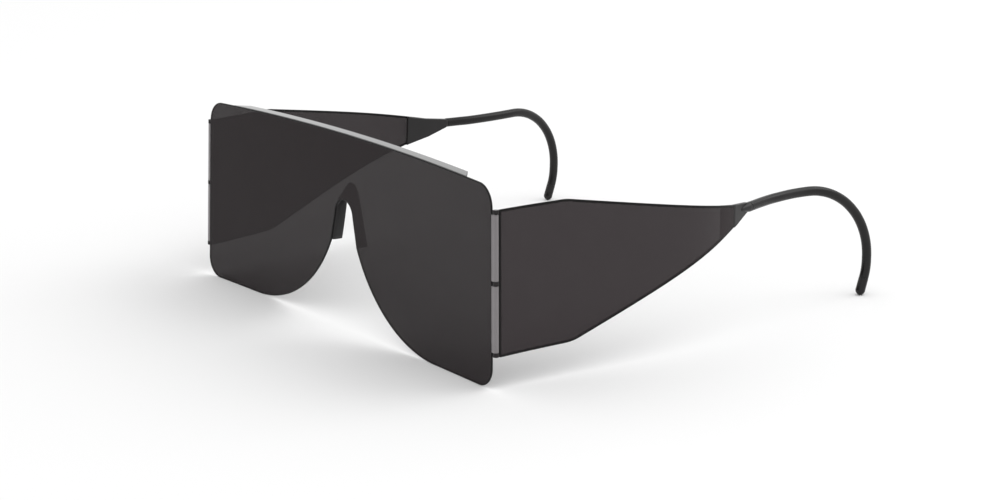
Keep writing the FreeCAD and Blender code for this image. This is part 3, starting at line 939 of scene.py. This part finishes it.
@dataclass
class PlanCurve:
    """Plan of a temple: how far outside the hinge axis it runs at each distance behind it, in mm."""

    back: tuple[float, ...] = (0, 25, 50, 75, 95, 118, 142)
    out: tuple[float, ...] = (0, 2.53, 5.79, 5.06, -0.96, -2.74, 1.3)
    bends: np.ndarray = field(init=False)

    def __post_init__(self) -> None:
        """Finds the second derivative at each knot of the smooth curve through them."""
        x, y = np.array(self.back, float), np.array(self.out, float)
        gap = np.diff(x)
        slope = np.diff(y) / gap
        count = len(x)
        weights = np.zeros((count, count))
        turns = np.zeros(count)
        for n in range(1, count - 1):
            weights[n, n - 1:n + 2] = gap[n - 1], 2 * (gap[n - 1] + gap[n]), gap[n]
            turns[n] = 6 * (slope[n] - slope[n - 1])
        weights[0, :3] = gap[1], -(gap[0] + gap[1]), gap[0]
        weights[-1, -3:] = gap[-1], -(gap[-2] + gap[-1]), gap[-2]
        self.bends = np.linalg.solve(weights, turns)

    def at(self, back: float) -> tuple[float, float]:
        """How far out the curve is, and its slope, at a distance behind the hinge.

        Args:
            back: The distance.

        Returns:
            The offset and the slope.
        """
        n = max(0, min(len(self.back) - 2, int(np.searchsorted(self.back, back)) - 1))
        gap = self.back[n + 1] - self.back[n]
        b = (back - self.back[n]) / gap
        a = 1 - b
        curve = ((a ** 3 - a) * self.bends[n] + (b ** 3 - b) * self.bends[n + 1]) * gap ** 2 / 6
        turn = ((3 * b * b - 1) * self.bends[n + 1] - (3 * a * a - 1) * self.bends[n]) * gap / 6
        return (a * self.out[n] + b * self.out[n + 1] + curve,
                (self.out[n + 1] - self.out[n]) / gap + turn)

    def wall(self, back: float, offset: float, up: float) -> Vector:
        """A point beside the curve, in a side frame.

        Args:
            back: Distance behind the hinge.
            offset: Distance outwards from the curve.
            up: Height.

        Returns:
            The point: outwards, backwards, up.
        """
        out, slope = self.at(back)
        outwards = Vector((1.0, -slope)).normalized()
        return Vector((out + outwards.x * offset, back + outwards.y * offset, up))


@dataclass
class Temple:
    """One temple: side shield, paddle, sheathed hook and tip. Sizes in mm and degrees."""

    side: Side
    palette: Palette
    tube: bpy.types.NodeTree
    half_width: float = HALF_WIDTH
    side_lean: float = SIDE_LEAN
    axis_out: float = 0.92
    axis_back: float = 0.82
    thick: float = FILM_THICK
    rim: float = FILM_RIM
    front_back: float = 0.95
    film_end: float = 84.7
    front_low: float = 9.3
    front_high: float = 50.7
    brow: Point = (22.6, 51.5)
    cheek: Point = (24.7, 10.7)
    end_low: float = 35.8
    end_high: float = 42.2
    bend_radius: float = 14.0
    corner: float = 0.5
    # Width of the band of painted shade along the shield's outline
    border: float = 0.7
    column_step: float = 1.3
    tongue_cover: float = 0.01
    knuckles: tuple[float, ...] = (50.1, 30.2, 10.1)
    knuckle_height: float = 1.2
    knuckle_radius: float = 0.85
    knuckle_bevel: float = 0.08
    paddle_front: float = 78.7
    paddle_rear: float = 92.0
    paddle_low: float = 33.3
    paddle_high: float = 43.0
    paddle_waist: Point = (86.0, 36.0)
    paddle_thick: float = 0.9
    paddle_rim: float = 0.2
    bond: float = 0.02
    web_gap: float = 0.03
    web_root: float = 0.3
    neck_half: float = 1.35
    boss_length: float = 4.5
    boss_taper: tuple[Point, ...] = (
        (1.0, 0.23), (0.8, 0.44), (0.6, 0.62), (0.4, 0.78), (0.2, 0.91), (0.04, 0.99), (0.0, 0.92))
    sleeve_radius: float = 1.5
    unevenness: float = 0.08
    run_step: float = 1.5
    fewest_runs: int = 2
    bend_step: float = 1.0
    fewest_bends: int = 4
    tip_length: float = 4.0
    tip_lead: Point = (0.12, 0.10)
    tip_inset: float = 0.01
    dome_start: float = 0.2
    dome_rings: int = 8
    plan: PlanCurve = field(default_factory=PlanCurve)
    path: tuple[tuple[float, float, float, float], ...] = (
        (-0.05, 92.5, 40.4, 0.0), (-2.5, 102.0, 40.9, 45.0), (-3.3, 113.5, 41.5, 45.0),
        (0.9, 140.6, 41.8, 22.0), (0.95, 140.6, 15.5, 18.0), (0.8, 138.5, 8.9, 0.0))

    @property
    def place(self) -> Matrix:
        """The way from the side frame, with x outwards from the hinge, to the shared frame.

        Returns:
            The matrix.
        """
        sign = self.side.value
        foot = Matrix.Translation((sign * (self.half_width + self.axis_out), self.axis_back, 0.0))
        lean = Matrix.Rotation(math.radians(-sign * self.side_lean), 4, "Y")
        return FRONT_FRAME @ foot @ lean @ Matrix.Diagonal((sign, 1.0, 1.0, 1.0))

    def settle(self, piece: bpy.types.Object, node: str, weighted: bool = True) -> None:
        """Brings a piece from the side frame to its place and finishes it there.

        Args:
            piece: A mesh object with its materials.
            node: The node that it replaces, without the side's word.
            weighted: Whether large faces should set the shading normals.
        """
        piece.data.transform(self.place)
        finish_piece(piece, self.side.body, [f"{node}_{self.side.word}"], weighted)

    def columns(self, front: float, rear: float) -> list[float]:
        """Places behind the hinge where a slab is divided, so that it can follow the plan curve."""
        return [front + self.column_step * n for n in range(1, int((rear - front) / self.column_step))]

    def film_outline(self) -> list[Vector]:
        """Side view of the side shield, whose front edge runs over the knuckles' tongues.

        Returns:
            Points backwards and up, in mm.
        """
        front, corner = self.front_back, self.corner
        start = (front + 2 * corner, self.front_low)
        trace = Trace.start(start)
        trace.corner(self.cheek, (self.film_end, self.end_low), self.bend_radius)
        trace.line((self.film_end, self.end_low))
        trace.line((self.film_end, self.end_high))
        trace.corner(self.brow, (front, self.front_high), self.bend_radius)
        trace.corner((front, self.front_high), (front, self.front_low), corner)
        trace.corner((front, self.front_low), start, corner)
        return trace.loop()

    def build_film(self) -> None:
        """Makes the side shield: a slab of its side outline, bent along the plan curve."""
        half = self.thick / 2 + self.tongue_cover
        piece = slab(f"shield_film_{self.side.word}", self.film_outline(),
                     self.columns(self.front_back, self.film_end), -half, half, self.rim,
                     (self.palette[SHIELD_PAINTED_LIGHT], self.palette[FILM_EDGE_AND_SHADE]), self.border)
        remap(piece, lambda p: self.plan.wall(p.x, p.y, p.z))
        self.settle(piece, "side_shield")

    def build_knuckles(self) -> None:
        """Makes the knuckles, each a short barrel whose tail ends inside the shield's front edge."""
        half = self.thick / 2
        tail = self.front_back + 2 * self.rim
        root = math.sqrt(self.knuckle_radius ** 2 - half ** 2)
        reach = self.knuckle_height / 2 - self.tongue_cover
        for place, middle in zip(("top", "middle", "bottom"), self.knuckles):
            trace = Trace.start((half, tail))
            trace.line((-half, tail))
            trace.line((-half, root))
            trace.arc((0, -self.knuckle_radius), (half, root))
            piece = slab(f"knuckle_{place}_{self.side.word}", trace.loop(), (), middle - reach,
                         middle + reach, self.knuckle_bevel, [self.palette[KNUCKLE]] * 2)
            remap(piece, lambda p: Vector((p.x, p.z, p.y)))
            self.settle(piece, f"hinge_knuckle_{place}")

    def build_paddle(self) -> None:
        """Makes the paddle: a blade inside the film, a web behind it and a boss round the hook's root."""
        root, after = self.corners()[:2]
        inner = -self.thick / 2 - self.bond
        neck = [Vector((self.paddle_rear, root.z - self.neck_half)),
                Vector((self.paddle_rear, root.z + self.neck_half))]
        blade = [Vector((self.paddle_front, self.paddle_low)), Vector(self.paddle_waist), *neck,
                 Vector((self.film_end, self.end_high - self.bond)),
                 Vector((self.paddle_front, self.paddle_high))]
        web_front = self.film_end + self.web_gap
        share = (web_front - self.paddle_front) / (self.paddle_waist[0] - self.paddle_front)
        web = [blade[0].lerp(blade[1], share), *blade[1:4],
               Vector((web_front, self.end_high - self.web_gap))]
        word = self.side.word
        columns = self.columns(self.paddle_front, self.paddle_rear)
        parts = [slab(f"paddle_blade_{word}", blade, columns, inner - self.paddle_thick, inner,
                      self.paddle_rim),
                 slab(f"paddle_web_{word}", web, columns, inner - self.web_root, self.thick / 2, self.rim)]
        for part in parts:
            remap(part, lambda p: self.plan.wall(p.x, p.y, p.z))
        stations = [(-back * self.boss_length, wide * self.sleeve_radius) for back, wide in self.boss_taper]
        parts.append(lathe(f"paddle_boss_{word}", root, (after - root).normalized(), stations))
        self.settle(joined(f"paddle_{word}", parts, self.palette[SATIN]), "ear_paddle")

    def corners(self) -> list[Vector]:
        """The corners of the hook's path, in the side frame."""
        return [Vector(corner[:3]) for corner in self.path]

    def centre_line(self, short_of_end: float) -> list[Vector]:
        """Points along the hook: straight runs joined by tangent arcs.

        Args:
            short_of_end: How far before the path's end the line stops.

        Returns:
            Points in the side frame, in mm.
        """
        corners = self.corners()
        corners[-1] -= (corners[-1] - corners[-2]).normalized() * short_of_end
        radii = [row[3] for row in self.path[1:]]
        points = [corners[0]]
        for before, corner, after, radius in zip(corners, corners[1:], corners[2:], radii):
            first, _, last = rounding(before, corner, after, radius)
            runs = max(self.fewest_runs, int((first - points[-1]).length / self.run_step))
            for left in range(runs, 0, -1):
                points.append(points[-1].lerp(first, 1 / left))
            tangent = (corner - first).length
            half = math.atan(tangent / radius)
            to_centre = ((first + last) / 2 - corner).normalized()
            centre = corner + to_centre * math.hypot(tangent, radius)
            steps = max(self.fewest_bends, math.ceil(2 * half * radius / self.bend_step))
            across, up = (first - centre), (corner - first).normalized() * radius
            for n in range(1, steps + 1):
                angle = 2 * half * n / steps
                points.append(centre + across * math.cos(angle) + up * math.sin(angle))
        points.append(corners[-1])
        return points

    def build_hook(self) -> None:
        """Makes the soft sleeve along the hook's line and the rounded tip at its end."""
        word = self.side.word
        line = self.centre_line(self.tip_length)
        mesh = bpy.data.meshes.new(f"hook_sleeve_{word}")
        mesh.from_pydata(line, [(n, n + 1) for n in range(len(line) - 1)], [])
        piece = new_object(f"hook_sleeve_{word}", mesh)
        radius, soft = self.sleeve_radius, self.palette[SOFT]
        run_tree(piece, self.tube, {"Radius": radius, "Unevenness": self.unevenness, "Material": soft})
        self.settle(piece, "ear_sleeve", weighted=False)
        heel, end = self.corners()[-2:]
        lead_length, lead_depth = self.tip_lead
        stations = [(-self.tip_length, radius - lead_depth),
                    (lead_length - self.tip_length, radius - self.tip_inset), (0.0, radius)]
        stations += [(radius * math.sin(a), radius * math.cos(a))
                     for a in np.linspace(self.dome_start, math.pi / 2, self.dome_rings)]
        tip = lathe(f"hook_tip_{word}", end, (end - heel).normalized(), stations, soft)
        self.settle(tip, "ear_tip", weighted=False)

    def build(self) -> None:
        """Makes the whole temple and dresses the nodes that keep their shape."""
        self.build_film()
        self.build_knuckles()
        self.build_paddle()
        self.build_hook()
        dress(f"hinge_pin_{self.side.word}", self.palette[PIN])
        dress(f"ear_core_{self.side.word}", self.palette[WIRE])


# Studio and camera


@dataclass
class Studio:
    """Pale floor, soft light and a white background. Lengths in metres, powers in watts."""

    floor_half: float = 6.0
    floor_colour: Triple = (0.86, 0.86, 0.86)
    world_strength: float = 1.07
    lamp_width: float = 0.8
    aim_height: float = 0.02
    rear_place: Triple = (0.35, 0.75, 0.95)
    rear_power: float = 3.2
    side_place: Triple = (1.1, -0.7, 0.7)
    side_power: float = 0.3

    def build_floor(self) -> None:
        """Makes the floor, a pale matte sheet that shows soft shadows."""
        half = self.floor_half
        mesh = bpy.data.meshes.new("studio_floor")
        mesh.from_pydata([(-half, -half, 0), (half, -half, 0), (half, half, 0), (-half, half, 0)], [],
                         [(0, 1, 2, 3)])
        material = bpy.data.materials.new("pale_floor")
        line = NodeLine.fresh(material)
        matte = line.add("ShaderNodeBsdfDiffuse", {"Color": (*self.floor_colour, 1.0)})
        line.add("ShaderNodeOutputMaterial", {"Surface": matte.outputs[0]})
        mesh.materials.append(material)
        new_object("studio_floor", mesh)

    def build_world(self) -> None:
        """Makes the world: white where it is seen, a plain pale light elsewhere."""
        world = bpy.data.worlds.new("studio")
        bpy.context.scene.world = world
        line = NodeLine.fresh(world)
        rays = line.add("ShaderNodeLightPath").outputs
        seen = line.math("MAXIMUM", rays["Is Camera Ray"], rays["Is Glossy Ray"])
        seen = line.math("MAXIMUM", seen, rays["Is Transmission Ray"])
        strength = line.mix("FLOAT", seen, self.world_strength, 1.0)
        background = line.add("ShaderNodeBackground", {"Color": (1.0, 1.0, 1.0, 1.0), "Strength": strength})
        line.add("ShaderNodeOutputWorld", {"Surface": background.outputs[0]})

    def add_lamp(self, name: str, place: Triple, power: float) -> None:
        """Adds a square soft lamp that faces the object.

        Args:
            name: The lamp's name.
            place: Where it stands.
            power: Its power.
        """
        light = bpy.data.lights.new(name, "AREA")
        light.size = self.lamp_width
        light.energy = power
        lamp = new_object(name, light)
        lamp.location = place
        aim = Vector((0, 0, self.aim_height)) - Vector(place)
        lamp.rotation_euler = aim.to_track_quat("-Z", "Y").to_euler()

    def build(self) -> None:
        """Makes floor, world and lamps and sets the view transform."""
        self.build_floor()
        self.build_world()
        self.add_lamp("rear_softbox", self.rear_place, self.rear_power)
        self.add_lamp("side_softbox", self.side_place, self.side_power)
        bpy.context.scene.view_settings.view_transform = "Standard"


@dataclass
class PhotoCamera:
    """The photograph's camera, in the shared frame. Lengths in mm, angles in degrees."""

    place: Triple = (596.9, -449.2, 220.2)
    azimuth: float = 53.73
    elevation: float = 15.67
    roll: float = -1.53
    focal_pixels: float = 2462.7
    image_width: int = 1006
    sensor: float = 36.0
    nearest: float = 10.0
    furthest: float = 50000.0

    def build(self) -> None:
        """Creates the camera and makes it the scene's."""
        data = bpy.data.cameras.new("photo_camera")
        data.sensor_width = self.sensor
        data.lens = self.focal_pixels * self.sensor / self.image_width
        data.clip_start = self.nearest * MM
        data.clip_end = self.furthest * MM
        camera = new_object("photo_camera", data)
        a, e = math.radians(self.azimuth), math.radians(self.elevation)
        back = Vector((math.sin(a) * math.cos(e), -math.cos(a) * math.cos(e), math.sin(e)))
        right = Vector((math.cos(a), math.sin(a), 0.0))
        up = back.cross(right)
        turn = math.radians(self.roll)
        tilted_right = right * math.cos(turn) + up * math.sin(turn)
        tilted_up = up * math.cos(turn) - right * math.sin(turn)
        camera.matrix_world = Matrix.Translation(Vector(self.place) * MM) @ Matrix(
            (tilted_right, tilted_up, back)).transposed().to_4x4()
        bpy.context.scene.camera = camera


def main() -> None:
    """Builds camera, studio and every sub-assembly, in that order."""
    logging.basicConfig(level=logging.INFO, format="%(message)s")
    PhotoCamera().build()
    Studio().build()
    palette = Palette((LENS, SHIELD_PAINTED_LIGHT, FILM_EDGE_AND_SHADE, LEDGE, BARREL, PIN, KNUCKLE, SATIN, SOFT, WIRE))
    FrontShield(palette, bow_tree()).build()
    tube = tube_tree()
    for side in Side:
        Temple(side, palette, tube).build()


if __name__ == "__main__":
    main()
